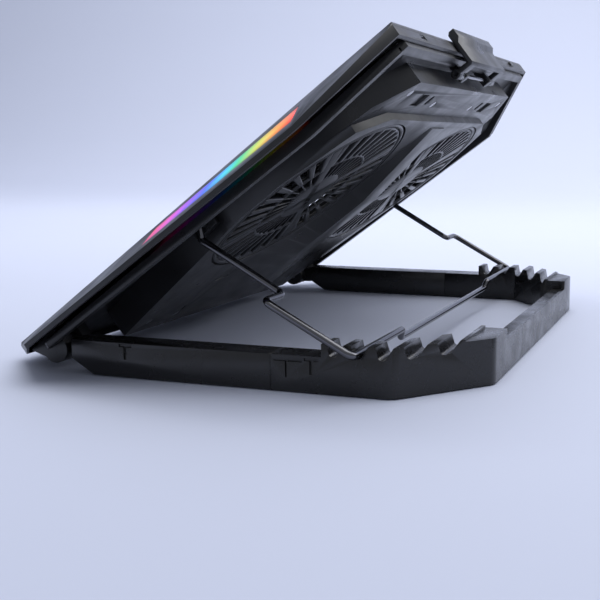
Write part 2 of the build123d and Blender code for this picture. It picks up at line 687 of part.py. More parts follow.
def bail_wire():
    foot_y = BAIL_FOOT_Y + FRAME_SHIFT
    half = [
        deck_point(BAIL_HALF_PIVOT - BAIL_END, BAIL_PIVOT_ALONG, BAIL_PIVOT_DEPTH),
        deck_point(BAIL_HALF_PIVOT, BAIL_PIVOT_ALONG, BAIL_PIVOT_DEPTH),
        deck_point(BAIL_HALF_PIVOT, BAIL_KNEE_ALONG, BAIL_KNEE_DEPTH),
        (BAIL_HALF_PIVOT, BAIL_JOG_Y + FRAME_SHIFT, BAIL_JOG_Z),
        (BAIL_HALF_FOOT, BAIL_JOG_Y + FRAME_SHIFT, BAIL_JOG_Z),
        (BAIL_HALF_FOOT, foot_y, NOTCH_Z),
        (BAIL_MIDDLE_HALF, foot_y, NOTCH_Z),
        (BAIL_MIDDLE_HALF - 2, foot_y - 1.5, NOTCH_Z - BAIL_MIDDLE_DROP),
    ]
    points = half + [(-x, y, z) for x, y, z in reversed(half)]
    bends = [WIRE_RADIUS + 0.6] * 2 + [BAIL_BEND] * 3 + [WIRE_RADIUS + 0.4] * 2
    path = FilletPolyline(*points, radius=bends + bends[::-1])
    start = Plane(origin=points[0], z_dir=(1, 0, 0))
    return sweep(start * Circle(WIRE_RADIUS), path=path)


def bail_clip(side):
    clip = clip_box()
    clip -= rod(BAIL_HALF_PIVOT - BAIL_END - 0.5, BAIL_HALF_PIVOT, BAIL_PIVOT_ALONG,
                -BAIL_PIVOT_DEPTH, WIRE_RADIUS + RUNNING_CLEARANCE)
    return mirrored_if(side < 0, clip)


# ---------------------------------------------------------------- base frame
def frame_outline(inset, rear_inset=None):
    """Rear frame's outline, right half from the seam to the rear."""
    rear_inset = inset if rear_inset is None else rear_inset
    half = BASE_WIDTH / 2
    rear_half = REAR_FACE_WIDTH / 2
    run = half - rear_half
    fall = BASE_REAR - CHAMFER_START
    length = (run ** 2 + fall ** 2) ** 0.5
    side_x = half - inset
    side_y = CHAMFER_START - inset * (length - fall) / run
    rear_y = BASE_REAR - rear_inset
    rear_x = side_x - (rear_y - side_y) * run / fall
    return side_x, side_y, rear_x, rear_y


def frame_prism(inset, rear_inset, low, high, front):
    side_x, side_y, rear_x, rear_y = frame_outline(inset, rear_inset)
    loop = outline([(side_x, front), (side_x, side_y), (rear_x, rear_y)])
    face = make_face(Polyline(*loop, close=True))
    corners = face.vertices().filter_by(lambda corner: corner.Y > front + 1)
    face = fillet(corners, max(CORNER_RADIUS - inset, 1.0))
    return Pos(0, 0, low) * extrude(face, high - low)


def swing_direction():
    """Direction (y, z) in which the wire leaves its notch as the bail swings back."""
    _, pivot_y, pivot_z = deck_point(0, BAIL_PIVOT_ALONG, BAIL_PIVOT_DEPTH)
    run = BAIL_FOOT_Y + FRAME_SHIFT - pivot_y
    drop = pivot_z - NOTCH_Z
    length = (run ** 2 + drop ** 2) ** 0.5
    return drop / length, run / length


def notch_cut(y):
    """Space for the wire in one notch, and its way out along the bail's swing."""
    radius = WIRE_RADIUS + NOTCH_CLEARANCE
    lean = swing_direction()
    exit_y = y + radius * lean[1]
    exit_z = NOTCH_Z - radius * lean[0]
    rise = (TOOTH_HEIGHT + 1 - exit_z) / lean[1]
    cut = slab_across(
        [
            (y - radius, NOTCH_Z), (exit_y, exit_z),
            (exit_y + rise * lean[0], TOOTH_HEIGHT + 1), (y - radius - 1.2, TOOTH_HEIGHT + 1),
        ],
        -BASE_WIDTH, BASE_WIDTH,
    )
    return cut + rod(-BASE_WIDTH, BASE_WIDTH, y, NOTCH_Z, radius)


def rear_frame():
    seam = RAIL_SEAM + 0.1
    ring = frame_prism(0, 0, FOOT_PROUD, RAIL_HEIGHT, seam)
    opening = frame_prism(RAIL_WIDTH, REAR_RAIL_WIDTH, -1, BLOCK_HEIGHT + 9, seam - 1)
    teeth_front = FIRST_NOTCH_Y - NOTCH_PITCH / 2
    teeth_rear = FIRST_NOTCH_Y + (NOTCH_COUNT - 0.4) * NOTCH_PITCH
    raised = frame_prism(0, 0, RAIL_HEIGHT - 1, BLOCK_HEIGHT, teeth_front)
    teeth = frame_prism(0, 0, RAIL_HEIGHT - 1, TOOTH_HEIGHT, teeth_front)
    teeth &= block(-BASE_WIDTH, BASE_WIDTH, teeth_front, teeth_rear, 0, TOOTH_HEIGHT)
    raised += teeth
    raised -= block(-BLOCK_END, BLOCK_END, 0, BASE_REAR + 1, RAIL_HEIGHT, TOOTH_HEIGHT + 1)
    ring += raised
    corner_ring = frame_prism(RAIL_WIDTH, RAIL_WIDTH, -1, BLOCK_HEIGHT + 9, seam - 1)
    middle = block(-BLOCK_END, BLOCK_END, 0, BASE_REAR, -1, BLOCK_HEIGHT + 9)
    ring -= opening & middle
    ring -= corner_ring
    for index in range(NOTCH_COUNT):
        ring -= notch_cut(FIRST_NOTCH_Y + index * NOTCH_PITCH)
    hollow = frame_prism(SKIN, SKIN, 0, RAIL_HEIGHT - SKIN, seam + SKIN)
    hollow -= frame_prism(RAIL_WIDTH - SKIN, RAIL_WIDTH - SKIN, -1, RAIL_HEIGHT, seam - 1)
    hollow -= block(-BLOCK_END - SKIN, BLOCK_END + SKIN, 0, BASE_REAR, -1, RAIL_HEIGHT)
    for x, y in foot_places():
        hollow -= Pos(x, y, 0) * Cylinder(FOOT_RADIUS + SKIN, 4 * RAIL_HEIGHT)
    ring -= hollow
    for side in pair(tongue(0)):
        ring += side
    for x, y in foot_places():
        if y > RAIL_SEAM:
            ring -= foot(x, y)
    return ring


def tongue(gap):
    """Rear frame's tongue in the end of the hollow side rail."""
    inner = BASE_WIDTH / 2 - RAIL_WIDTH + SKIN + TONGUE_GAP
    outer = BASE_WIDTH / 2 - SKIN - TONGUE_GAP
    return block(inner - gap, outer + gap, RAIL_SEAM - TONGUE_LENGTH, RAIL_SEAM + SKIN + 0.2,
                 FOOT_PROUD + 2, RAIL_HEIGHT - SKIN - TONGUE_GAP + gap)


def foot_places():
    middle = (BASE_WIDTH - RAIL_WIDTH) / 2
    places = []
    for side in (1, -1):
        places += [(side * middle, RAIL_TOE + 14), (side * middle, CHAMFER_START - 22)]
        places += [(side * (REAR_FACE_WIDTH / 2 - 4), BASE_REAR - RAIL_WIDTH / 2 - 1)]
    return places


def foot(x, y):
    height = FOOT_PROUD + FOOT_RECESS
    return Pos(x, y, height / 2) * Cylinder(FOOT_RADIUS, height)


def side_rail(side):
    inner = BASE_WIDTH / 2 - RAIL_WIDTH
    outer = BASE_WIDTH / 2
    toe = RAIL_TOE - TOE_RUN
    seam = RAIL_SEAM - 0.1
    rail = slab_across(
        [
            (toe, RAIL_HEIGHT), (toe, TOE_HEIGHT), (RAIL_TOE, FOOT_PROUD),
            (seam, FOOT_PROUD), (seam, RAIL_HEIGHT),
        ],
        inner, outer,
    )
    front = RAIL_TOE + SKIN
    hollow = block(inner + SKIN, outer - SKIN, front, seam + 1, -1, RAIL_HEIGHT - SKIN)
    hollow -= Pos((inner + outer) / 2, RAIL_TOE + 14, 0) * Cylinder(
        FOOT_RADIUS + SKIN, 4 * RAIL_HEIGHT)
    rail -= hollow
    rail += block(inner, inner + HINGE_TONGUE, HINGE_Y, toe + 1,
                  HINGE_Z - HINGE_KNUCKLE_RADIUS + 2, HINGE_Z + HINGE_KNUCKLE_RADIUS - 2)
    rail += rod(inner, inner + HINGE_TONGUE, HINGE_Y, HINGE_Z, HINGE_KNUCKLE_RADIUS - 1)
    rail -= rod(inner - 1, inner + HINGE_TONGUE + 1, HINGE_Y, HINGE_Z, HINGE_PIN_RADIUS)
    rail -= foot((inner + outer) / 2, RAIL_TOE + 14)
    return mirrored_if(side < 0, rail)


# ---------------------------------------------------------------- parts
NAMES = {1: "right", -1: "left"}

save("deck_top_cover", on_deck(top_cover()))
save("deck_bottom_shell", on_deck(bottom_shell()))
save("top_mesh", on_deck(prism(mesh_outline(), -MESH_THICKNESS, 0)))
save("grip_pads", on_deck(Compound(grip_pads())))
save("control_board", on_deck(control_board()))
save("usb_socket", on_deck(usb_socket()))
save("light_button", on_deck(light_button()))
save("button_switch", on_deck(button_switch()))
save("phone_rest", on_deck(phone_rest()))
save("phone_rest_pin", on_deck(rest_pin()))
save("deck_screws", on_deck(Compound([screw_solid(*place) for place in deck_screw_places()])))
save("bail_wire", bail_wire())
save("base_rear_frame", on_table(rear_frame()))
save("rubber_feet", on_table(Compound([foot(x, y) for x, y in foot_places()])))
for side, name in NAMES.items():
    save(f"light_bar_{name}", on_deck(mirrored_if(side < 0, light_bar(0, 0, SKIN))))
    save(f"light_board_{name}", on_deck(mirrored_if(side < 0, light_bar(2, SKIN, LIGHT_THICKNESS))))
    save(f"laptop_stopper_{name}", on_deck(stopper(side)))
    save(f"stopper_pin_{name}", on_deck(stopper_pin(side)))
    save(f"fan_guard_{name}", at_fan(side, guard()))
    save(f"fan_motor_{name}", at_fan(side, motor()))
    save(f"fan_rotor_{name}", at_fan(side, rotor()))
    save(f"fan_shaft_{name}", at_fan(side, shaft()))
    save(f"bail_clip_{name}", on_deck(bail_clip(side)))
    save(f"hinge_pin_{name}", on_table(hinge_pin(side)))
    save(f"base_side_rail_{name}", on_table(side_rail(side)))
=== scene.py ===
"""The looks of a laptop cooling pad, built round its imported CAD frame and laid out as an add-on."""

import json
import math

import bmesh
import bpy
from bpy.props import FloatProperty, FloatVectorProperty, IntProperty, PointerProperty
from mathutils import Matrix, Vector


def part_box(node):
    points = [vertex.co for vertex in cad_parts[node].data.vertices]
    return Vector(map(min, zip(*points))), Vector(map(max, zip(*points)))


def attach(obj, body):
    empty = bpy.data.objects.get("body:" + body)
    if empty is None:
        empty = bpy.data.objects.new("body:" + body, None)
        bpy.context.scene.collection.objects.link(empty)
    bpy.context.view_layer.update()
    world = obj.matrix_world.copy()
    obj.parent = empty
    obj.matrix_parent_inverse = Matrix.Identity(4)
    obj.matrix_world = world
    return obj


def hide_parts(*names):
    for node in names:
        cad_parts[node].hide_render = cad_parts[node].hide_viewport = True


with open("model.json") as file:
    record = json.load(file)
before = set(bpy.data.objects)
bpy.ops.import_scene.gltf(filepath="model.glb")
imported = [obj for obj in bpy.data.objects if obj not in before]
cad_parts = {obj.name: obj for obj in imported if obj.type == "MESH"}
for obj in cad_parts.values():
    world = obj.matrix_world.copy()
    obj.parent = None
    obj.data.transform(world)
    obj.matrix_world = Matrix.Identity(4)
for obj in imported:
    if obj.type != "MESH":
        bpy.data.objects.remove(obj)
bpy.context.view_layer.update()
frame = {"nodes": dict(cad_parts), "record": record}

bl_info = {
    "name": "Laptop Cooling Pad",
    "version": (1, 0, 0),
    "blender": (4, 5, 0),
    "location": "3D View > Sidebar > Cooling Pad",
    "description": "Builds the detailed pieces of a laptop cooling pad round its frame",
    "category": "Object",
}

MM = 0.001
LOSS = 1.0 * MM                               # most that carving may take off a node's box
SLOPE = math.radians(37.5)
LIP = Vector((0, -137.7, 10.9)) * MM          # front lip's top edge, in the middle
DECK = Matrix.Translation(LIP) @ Matrix.Rotation(SLOPE, 4, "X")
TABLE = Matrix.Translation((0, LIP.y, 0))     # places given from the front lip
SIDES = {"right": 1, "left": -1}

FAN_X, FAN_ALONG = 87.7, 172.9
GUARD_LOW, GUARD_HIGH = 27.2, 24.2            # depths of the guard's two faces
PLATEAU = 22.4
LAMP_MIDDLE, LAMP_HALF = 182.5, 3.0           # lamp strip across the wing
# Light bar's glow: its run along the wing, and its half width across. Over that width the glow fades from the
# lamp strip, and most of it is painted light spilling across the wing.
LIGHT_START, LIGHT_END, GLOW_AND_SPILL_HALF = 122.0, 226.0, 12.0
MESH_HALF, MESH_LOW, MESH_HIGH, MESH_CORNER = 140.0, 52.0, 258.0, 30.0
MESH_BORDER, MESH_TRIM = 4.2, 3.0             # plain rim, and where the holes stop inside the edge
SLAT_INNER, SLAT_OUTER = 38.8, 64.2           # radii between which a guard's slats lie
HUB_RADIUS = 19.8
HALF_BASE = 178.5
SWEEP_START, SWEEP_RADIUS, SWEEP_STEPS = -1.4, 1.6, 12   # backdrop's curve, in metres
CAMERA_PLACE = Vector((0.6568, 0.2533, 0.1294))
CAMERA_TURN, CAMERA_TILT = 0.329, -0.155
CAMERA_LENS, CAMERA_SHIFT = 62.64, -0.132


# ---------------------------------------------------------------- mesh helpers
def box(bm, x, y, z, turn=0.0, edge=0.0, segments=2):
    """Adds a block over three (low, high) spans in mm, turned about its own upright axis."""
    size = [abs(b - a) * MM for a, b in (x, y, z)]
    middle = Vector([(a + b) / 2 * MM for a, b in (x, y, z)])
    place = Matrix.Translation(middle) @ Matrix.Rotation(turn, 4, "Z")
    made = bmesh.ops.create_cube(bm, size=1.0, matrix=place @ Matrix.Diagonal((*size, 1)))
    if edge:
        edges = list({e for v in made["verts"] for e in v.link_edges})
        soften(bm, edges, edge, segments)
    return made["verts"]


def drum(bm, place, radius, height, segments=48, edge=0.0, top_radius=None):
    """Adds a capped cylinder or cone at a matrix, in mm."""
    made = bmesh.ops.create_cone(
        bm, cap_ends=True, segments=segments, radius1=radius * MM,
        radius2=(radius if top_radius is None else top_radius) * MM,
        depth=height * MM, matrix=place,
    )
    if edge:
        rims = [e for e in {e for v in made["verts"] for e in v.link_edges}
                if len(e.link_faces) == 2 and e.calc_face_angle() > math.radians(50)]
        soften(bm, rims, edge, 2)
    return made["verts"]


def soften(bm, edges, width, segments=2):
    bmesh.ops.bevel(
        bm, geom=edges, offset=width * MM, offset_type="OFFSET", segments=segments,
        profile=0.5, affect="EDGES", material=-1, clamp_overlap=True,
    )


def ring(bm, radius, thickness, depth, turns=96, around=12):
    """Adds a round rim of tube, spun about the upright axis at a depth in mm."""
    made = bmesh.ops.create_circle(
        bm, cap_ends=False, segments=around, radius=thickness * MM,
        matrix=Matrix.Translation((radius * MM, 0, -depth * MM)) @ Matrix.Rotation(math.pi / 2, 4, "X"),
    )
    edges = list({e for v in made["verts"] for e in v.link_edges})
    bmesh.ops.spin(
        bm, geom=made["verts"] + edges, cent=(0, 0, 0), axis=(0, 0, 1),
        angle=2 * math.pi, steps=turns, use_merge=True, use_duplicate=False,
    )


def around_axis(bm, geometry, count):
    bmesh.ops.spin(
        bm, geom=geometry, cent=(0, 0, 0), axis=(0, 0, 1), angle=2 * math.pi * (count - 1) / count,
        steps=count - 1, use_duplicate=True, use_merge=False,
    )


def all_of(bm):
    return bm.verts[:] + bm.edges[:] + bm.faces[:]


def to_object(name, bm, place=Matrix.Identity(4), smooth=32.0):
    bmesh.ops.transform(bm, matrix=place, verts=bm.verts)
    bmesh.ops.recalc_face_normals(bm, faces=bm.faces)
    mesh = bpy.data.meshes.new(name)
    bm.to_mesh(mesh)
    bm.free()
    mesh.shade_smooth()
    mesh.set_sharp_from_angle(angle=math.radians(smooth))
    made = bpy.data.objects.new(name, mesh)
    bpy.context.scene.collection.objects.link(made)
    return made


def dress(made, body, material, slot, *nodes):
    """Gives a piece its material and body, and hides the nodes that it stands for."""
    made.data.materials.clear()
    made.data.materials.append(material)
    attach(made, body)
    if nodes:
        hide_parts(*nodes)
    return made


def join_into(bm, part):
    """Adds one mesh's shape to another and frees it."""
    held = bpy.data.meshes.new("held")
    part.to_mesh(held)
    part.free()
    bm.from_mesh(held)
    bpy.data.meshes.remove(held)


def merged_copy(node):
    """A welded copy of a frame node with its flat faces joined up."""
    bm = bmesh.new()
    bm.from_mesh(frame["nodes"][node].data)
    bmesh.ops.remove_doubles(bm, verts=bm.verts, dist=0.002 * MM)
    bmesh.ops.dissolve_limit(
        bm, angle_limit=math.radians(0.4), use_dissolve_boundaries=False,
        verts=bm.verts, edges=bm.edges, delimit=set(),
    )
    return bm


def check_extent(mesh, node):
    """Stops the build if a carved copy no longer fills its node's box."""
    low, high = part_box(node)
    if not mesh.vertices:
        raise RuntimeError(f"the copy of {node} came out empty")
    for axis in range(3):
        places = [v.co[axis] for v in mesh.vertices]
        if abs(min(places) - low[axis]) > LOSS or abs(max(places) - high[axis]) > LOSS:
            raise RuntimeError(f"the copy of {node} lost part of its shape")


def carved(name, node, cutter=None, edge=0.35, extra=None):
    """A copy of a node with a cutter's grooves taken out, raised details added and its edges softened."""
    made = to_object(name, merged_copy(node))
    if cutter is not None:
        tool = to_object(name + "_tool", cutter)
        cut = made.modifiers.new("grooves", "BOOLEAN")
        cut.operation, cut.solver, cut.object = "DIFFERENCE", "EXACT", tool
        cut.use_self = True
    if edge:
        soft = made.modifiers.new("soft edges", "BEVEL")
        soft.width, soft.segments = edge * MM, 2
        soft.limit_method, soft.angle_limit = "ANGLE", math.radians(40)
        soft.use_clamp_overlap = True
        soft.harden_normals = False
    graph = bpy.context.evaluated_depsgraph_get()
    mesh = bpy.data.meshes.new_from_object(made.evaluated_get(graph))
    made.modifiers.clear()
    made.data = mesh
    if cutter is not None:
        bpy.data.objects.remove(tool)
    check_extent(mesh, node)
    if extra is not None:
        bm = bmesh.new()
        bm.from_mesh(mesh)
        bmesh.ops.recalc_face_normals(extra, faces=extra.faces)
        join_into(bm, extra)
        bm.to_mesh(mesh)
        bm.free()
    mesh.shade_smooth()
    mesh.set_sharp_from_angle(angle=math.radians(32))
    return made


# ---------------------------------------------------------------- materials
class Finish:
    """A material's nodes, laid out from object coordinates to the shader."""

    def __init__(self, name, colour, roughness, metallic=0.0, coat=0.0):
        self.material = bpy.data.materials.new(name)
        self.material.use_nodes = True
        self.tree = self.material.node_tree
        self.shader = self.tree.nodes["Principled BSDF"]
        self.shader.inputs["Base Color"].default_value = (*colour, 1)
        self.shader.inputs["Roughness"].default_value = roughness
        self.shader.inputs["Metallic"].default_value = metallic
        self.shader.inputs["Coat Weight"].default_value = coat
        self.place = self.node("ShaderNodeTexCoord").outputs["Object"]

    def node(self, kind, **values):
        made = self.tree.nodes.new(kind)
        for key, value in values.items():
            setattr(made, key, value)
        return made

    def link(self, a, b):
        self.tree.links.new(a, b)

    def mapped(self, turn=(0, 0, 0), scale=(1, 1, 1), shift=(0, 0, 0)):
        mapping = self.node("ShaderNodeMapping")
        mapping.inputs["Rotation"].default_value = turn
        mapping.inputs["Scale"].default_value = scale
        mapping.inputs["Location"].default_value = shift
        self.link(self.place, mapping.inputs["Vector"])
        return mapping.outputs["Vector"]

    def noise(self, scale, detail=3.0, vector=None):
        texture = self.node("ShaderNodeTexNoise")
        texture.inputs["Scale"].default_value = scale
        texture.inputs["Detail"].default_value = detail
        self.link(self.place if vector is None else vector, texture.inputs["Vector"])
        return texture.outputs["Fac"]

    def span(self, value, low, high, start=0.3, end=0.7):
        part = self.node("ShaderNodeMapRange")
        for key, number in (("From Min", start), ("From Max", end), ("To Min", low), ("To Max", high)):
            part.inputs[key].default_value = number
        self.link(value, part.inputs["Value"])
        return part.outputs["Result"]

    def ramp(self, value, stops):
        made = self.node("ShaderNodeValToRGB")
        line = made.color_ramp
        while len(line.elements) < len(stops):
            line.elements.new(0.5)
        for element, (at, colour) in zip(line.elements, stops):
            element.position, element.color = at, (*colour, 1)
        self.link(value, made.inputs["Fac"])
        return made.outputs["Color"]

    def bump(self, height, strength, distance):
        made = self.node("ShaderNodeBump")
        made.inputs["Strength"].default_value = strength
        made.inputs["Distance"].default_value = distance * MM
        self.link(height, made.inputs["Height"])
        self.link(made.outputs["Normal"], self.shader.inputs["Normal"])

    def drive(self, value, socket):
        self.link(value, self.shader.inputs[socket])


def shaded(colour, factor):
    return tuple(min(1.0, c * factor) for c in colour)


def moulded_plastic(name, colour, roughness=0.42, grain=1500.0, depth=0.03, coat=0.0):
    """Spark-eroded ABS: a fine pebble grain, faint flow shading and handling smudges."""
    made = Finish(name, colour, roughness, coat=coat)
    flow = made.noise(22.0, 4.0)
    made.drive(made.ramp(flow, [(0.3, shaded(colour, 0.84)), (0.7, shaded(colour, 1.14))]), "Base Color")
    smudge = made.noise(60.0, 5.0)
    made.drive(made.span(smudge, roughness - 0.06, roughness + 0.1), "Roughness")
    made.bump(made.noise(grain, 2.0), 0.35, depth)
    return made.material


def soft_rubber(name, colour):
    made = Finish(name, colour, 0.82)
    dust = made.noise(140.0, 6.0)
    made.drive(made.ramp(dust, [(0.35, shaded(colour, 0.8)), (0.8, shaded(colour, 1.9))]), "Base Color")
    made.bump(made.noise(900.0, 3.0), 0.5, 0.05)
    return made.material


def plated_wire(name, colour):
    """Black-chromed steel wire, with faint drawing lines."""
    made = Finish(name, colour, 0.14, metallic=1.0)
    lines = made.noise(260.0, 3.0, made.mapped(scale=(0.15, 1, 1)))
    made.drive(made.span(lines, 0.09, 0.22), "Roughness")
    made.bump(lines, 0.12, 0.01)
    return made.material


def bright_steel(name, colour, roughness=0.3):
    made = Finish(name, colour, roughness, metallic=1.0)
    lines = made.noise(700.0, 4.0, made.mapped(scale=(0.05, 1, 1)))
    made.drive(made.span(lines, roughness - 0.1, roughness + 0.12), "Roughness")
    made.drive(made.ramp(lines, [(0.3, shaded(colour, 0.82)), (0.7, colour)]), "Base Color")
    made.bump(lines, 0.2, 0.01)
    return made.material


def coated_metal(name, colour):
    """Powder coat: an orange-peel surface over thin sheet."""
    made = Finish(name, colour, 0.46, metallic=0.1)
    peel = made.noise(620.0, 3.0)
    made.drive(made.span(peel, 0.36, 0.56), "Roughness")
    made.bump(peel, 0.4, 0.04)
    made.drive(made.ramp(made.noise(30.0), [(0.3, shaded(colour, 0.85)), (0.7, shaded(colour, 1.15))]),
               "Base Color")
    return made.material


RAINBOW = [
    (0.00, (0.75, 0.02, 0.10)), (0.13, (0.75, 0.02, 0.45)), (0.27, (0.28, 0.04, 0.80)),
    (0.41, (0.02, 0.10, 0.85)), (0.53, (0.00, 0.50, 0.80)), (0.64, (0.01, 0.60, 0.20)),
    (0.76, (0.55, 0.62, 0.02)), (0.88, (0.90, 0.32, 0.01)), (1.00, (0.85, 0.04, 0.02)),
]


def lit_strip_and_painted_spill(name, start, end, middle, half):
    """Milky bar lit from behind by a strip along its middle, its colour running from red to red. The glow
    fades out from the strip across the bar: partly the lit strip, partly painted light spilling over the
    wing. The rainbow in its base colour is painted coloured light.
    """
    made = Finish(name, (0.8, 0.8, 0.8), 0.3)
    parts = made.node("ShaderNodeSeparateXYZ")
    made.link(made.mapped(turn=(-SLOPE, 0, 0)), parts.inputs["Vector"])
    base = (Matrix.Rotation(-SLOPE, 3, "X") @ LIP).y
    run = made.span(parts.outputs["Y"], 0.0, 1.0, base + start * MM, base + end * MM)
    colour = made.ramp(run, RAINBOW)
    out = made.node("ShaderNodeMath", operation="ABSOLUTE")
    made.link(parts.outputs["X"], out.inputs[0])
    offset = made.node("ShaderNodeMath", operation="SUBTRACT")
    made.link(out.outputs[0], offset.inputs[0])
    offset.inputs[1].default_value = middle * MM
    across = made.node("ShaderNodeMath", operation="ABSOLUTE")
    made.link(offset.outputs[0], across.inputs[0])
    # Painted light: the emission fades from the lamp strip out to the bar's edges, painting the light that
    # spills across the wing.
    glow_and_painted_spill = made.span(across.outputs[0], 0.75, 0.06, 0.0, half * MM)
    # The rainbow also goes into the base colour, as painted coloured light on the bar.
    made.drive(colour, "Base Color")
    made.drive(colour, "Emission Color")
    made.drive(glow_and_painted_spill, "Emission Strength")
    made.bump(made.noise(800.0, 2.0), 0.3, 0.05)
    return made.material


def solder_mask(name, colour):
    made = Finish(name, colour, 0.3, coat=0.3)
    cells = made.node("ShaderNodeTexBrick")
    cells.inputs["Scale"].default_value = 180.0
    cells.inputs["Color1"].default_value = (*colour, 1)
    cells.inputs["Color2"].default_value = (*shaded(colour, 0.8), 1)
    cells.inputs["Mortar"].default_value = (*shaded(colour, 2.2), 1)
    cells.inputs["Mortar Size"].default_value = 0.05
    made.link(made.place, cells.inputs["Vector"])
    made.drive(cells.outputs["Color"], "Base Color")
    made.bump(made.noise(500.0), 0.2, 0.03)
    return made.material


MATERIALS = {}


def finish_for(slot):
    """The material of a record slot, made once."""
    if slot not in MATERIALS:
        colours = bpy.context.scene.coolpad_colours
        makers = {
            "shell_plastic": lambda: moulded_plastic("satin deck plastic", tuple(colours.deck), 0.34),
            "underside_plastic": lambda: moulded_plastic("underside plastic", tuple(colours.underside), 0.32),
            "base_plastic": lambda: moulded_plastic("base frame plastic", tuple(colours.base), 0.24),
            "mesh_metal": lambda: coated_metal("black coated mesh", (0.02, 0.02, 0.022)),
            "rubber": lambda: soft_rubber("black rubber", (0.012, 0.012, 0.012)),
            "steel": lambda: bright_steel("drawn steel", (0.6, 0.6, 0.62)),
            "dark_chrome": lambda: plated_wire("black chrome wire", tuple(colours.wire)),
            "fan_plastic": lambda: moulded_plastic(
                "fan blade plastic", (0.02, 0.02, 0.022), 0.26, grain=2200.0, depth=0.01, coat=0.3),
            "motor_metal": lambda: coated_metal("motor can", (0.07, 0.07, 0.075)),
            "board": lambda: solder_mask("green board", (0.02, 0.11, 0.04)),
            # light bar whose glow includes painted light spilling across the wing
            "diffuser": lambda: lit_strip_and_painted_spill(
                "rainbow light bar", LIGHT_START, LIGHT_END, LAMP_MIDDLE, GLOW_AND_SPILL_HALF),
            "trim_plastic": lambda: moulded_plastic("trim plastic", (0.014, 0.014, 0.016), 0.34),
        }
        MATERIALS[slot] = makers[slot]()
    return MATERIALS[slot]


# ---------------------------------------------------------------- sizes and colours
class CoolpadSizes(bpy.types.PropertyGroup):
    edge: FloatProperty(name="Moulded edge", description="Rounding of the moulded shells' edges, in mm",
                        default=0.5, min=0.1, max=1.0)
    slats: IntProperty(name="Guard slats", description="Radial slats in each fan guard",
                       default=36, min=12, max=72)
    blades: IntProperty(name="Fan blades", description="Blades of each fan", default=9, min=5, max=13)
    mesh_pitch: FloatProperty(name="Mesh pitch", default=6.5, min=4.0, max=12.0,
                              description="Distance between two holes of the top mesh, in mm")
    mesh_bar: FloatProperty(name="Mesh bar", description="Width of metal between two holes, in mm",
                            default=1.3, min=0.6, max=3.0)


class CoolpadColours(bpy.types.PropertyGroup):
    deck: FloatVectorProperty(name="Deck", description="Colour of the deck's top shell", subtype="COLOR",
                              size=3, default=(0.014, 0.014, 0.016), min=0, max=1)
    underside: FloatVectorProperty(name="Underside", description="Colour of the shell under the deck",
                                   subtype="COLOR", size=3, default=(0.012, 0.012, 0.013), min=0, max=1)
    base: FloatVectorProperty(name="Base", description="Colour of the base frame", subtype="COLOR",
                              size=3, default=(0.010, 0.010, 0.011), min=0, max=1)
    wire: FloatVectorProperty(name="Wire", description="Colour of the bail's plated wire", subtype="COLOR",
                              size=3, default=(0.13, 0.13, 0.14), min=0, max=1)
    floor: FloatVectorProperty(name="Floor", description="Colour of the floor and backdrop", subtype="COLOR",
                               size=3, default=(0.56, 0.60, 0.74), min=0, max=1)


# ---------------------------------------------------------------- deck
def underside_grooves():
    """Slots, seams and screw pockets let into the deck's underside."""
    cut = bmesh.new()
    for side in SIDES.values():
        for x, half, along in ((79.0, 7.0, (252.5, 262.5)), (61.2, 2.2, (254.5, 262.0))):
            box(cut, (side * x - half, side * x + half), along, (-PLATEAU - 1, -PLATEAU + 1.6))
        box(cut, (side * 67 - 6.2, side * 67 + 6.2), (83.7, 85.5), (-GUARD_LOW - 1, -GUARD_LOW + 1.2),
            turn=side * -0.34)
        box(cut, (side * 70.6 - 1.2, side * 70.6 + 1.2), (49.5, 54.5), (-GUARD_LOW - 1, -GUARD_LOW + 1.2))
    for start, end in ((84.0, 150.0), (-150.0, -84.0)):
        box(cut, (start, end), (279.4, 280.2), (-12.0, -9.9))
    return cut


def underside_details():
    """Ribs in the rear pockets, beside the fan housings."""
    extra = bmesh.new()
    for side in SIDES.values():
        for step in range(4):
            x = side * (121.0 + 6.5 * step)
            box(extra, (x - 0.8, x + 0.8), (206, 238 - 4 * step), (-14.5, -8.8), edge=0.3)
    return extra


class COOLPAD_OT_deck(bpy.types.Operator):
    """Build the deck's top cover and underside shell"""
    bl_idname = "coolpad.deck"
    bl_label = "Deck shells"

    def execute(self, context):
        edge = context.scene.coolpad_sizes.edge
        cover = carved("deck_cover", "deck_top_cover", edge=edge)
        dress(cover, "deck", finish_for("shell_plastic"), "shell_plastic", "deck_top_cover")
        grooves = underside_grooves()
        bmesh.ops.transform(grooves, matrix=DECK, verts=grooves.verts)
        details = underside_details()
        bmesh.ops.transform(details, matrix=DECK, verts=details.verts)
        shell = carved("deck_underside", "deck_bottom_shell", grooves, edge, details)
        dress(shell, "deck", finish_for("underside_plastic"), "underside_plastic", "deck_bottom_shell")
        return {"FINISHED"}


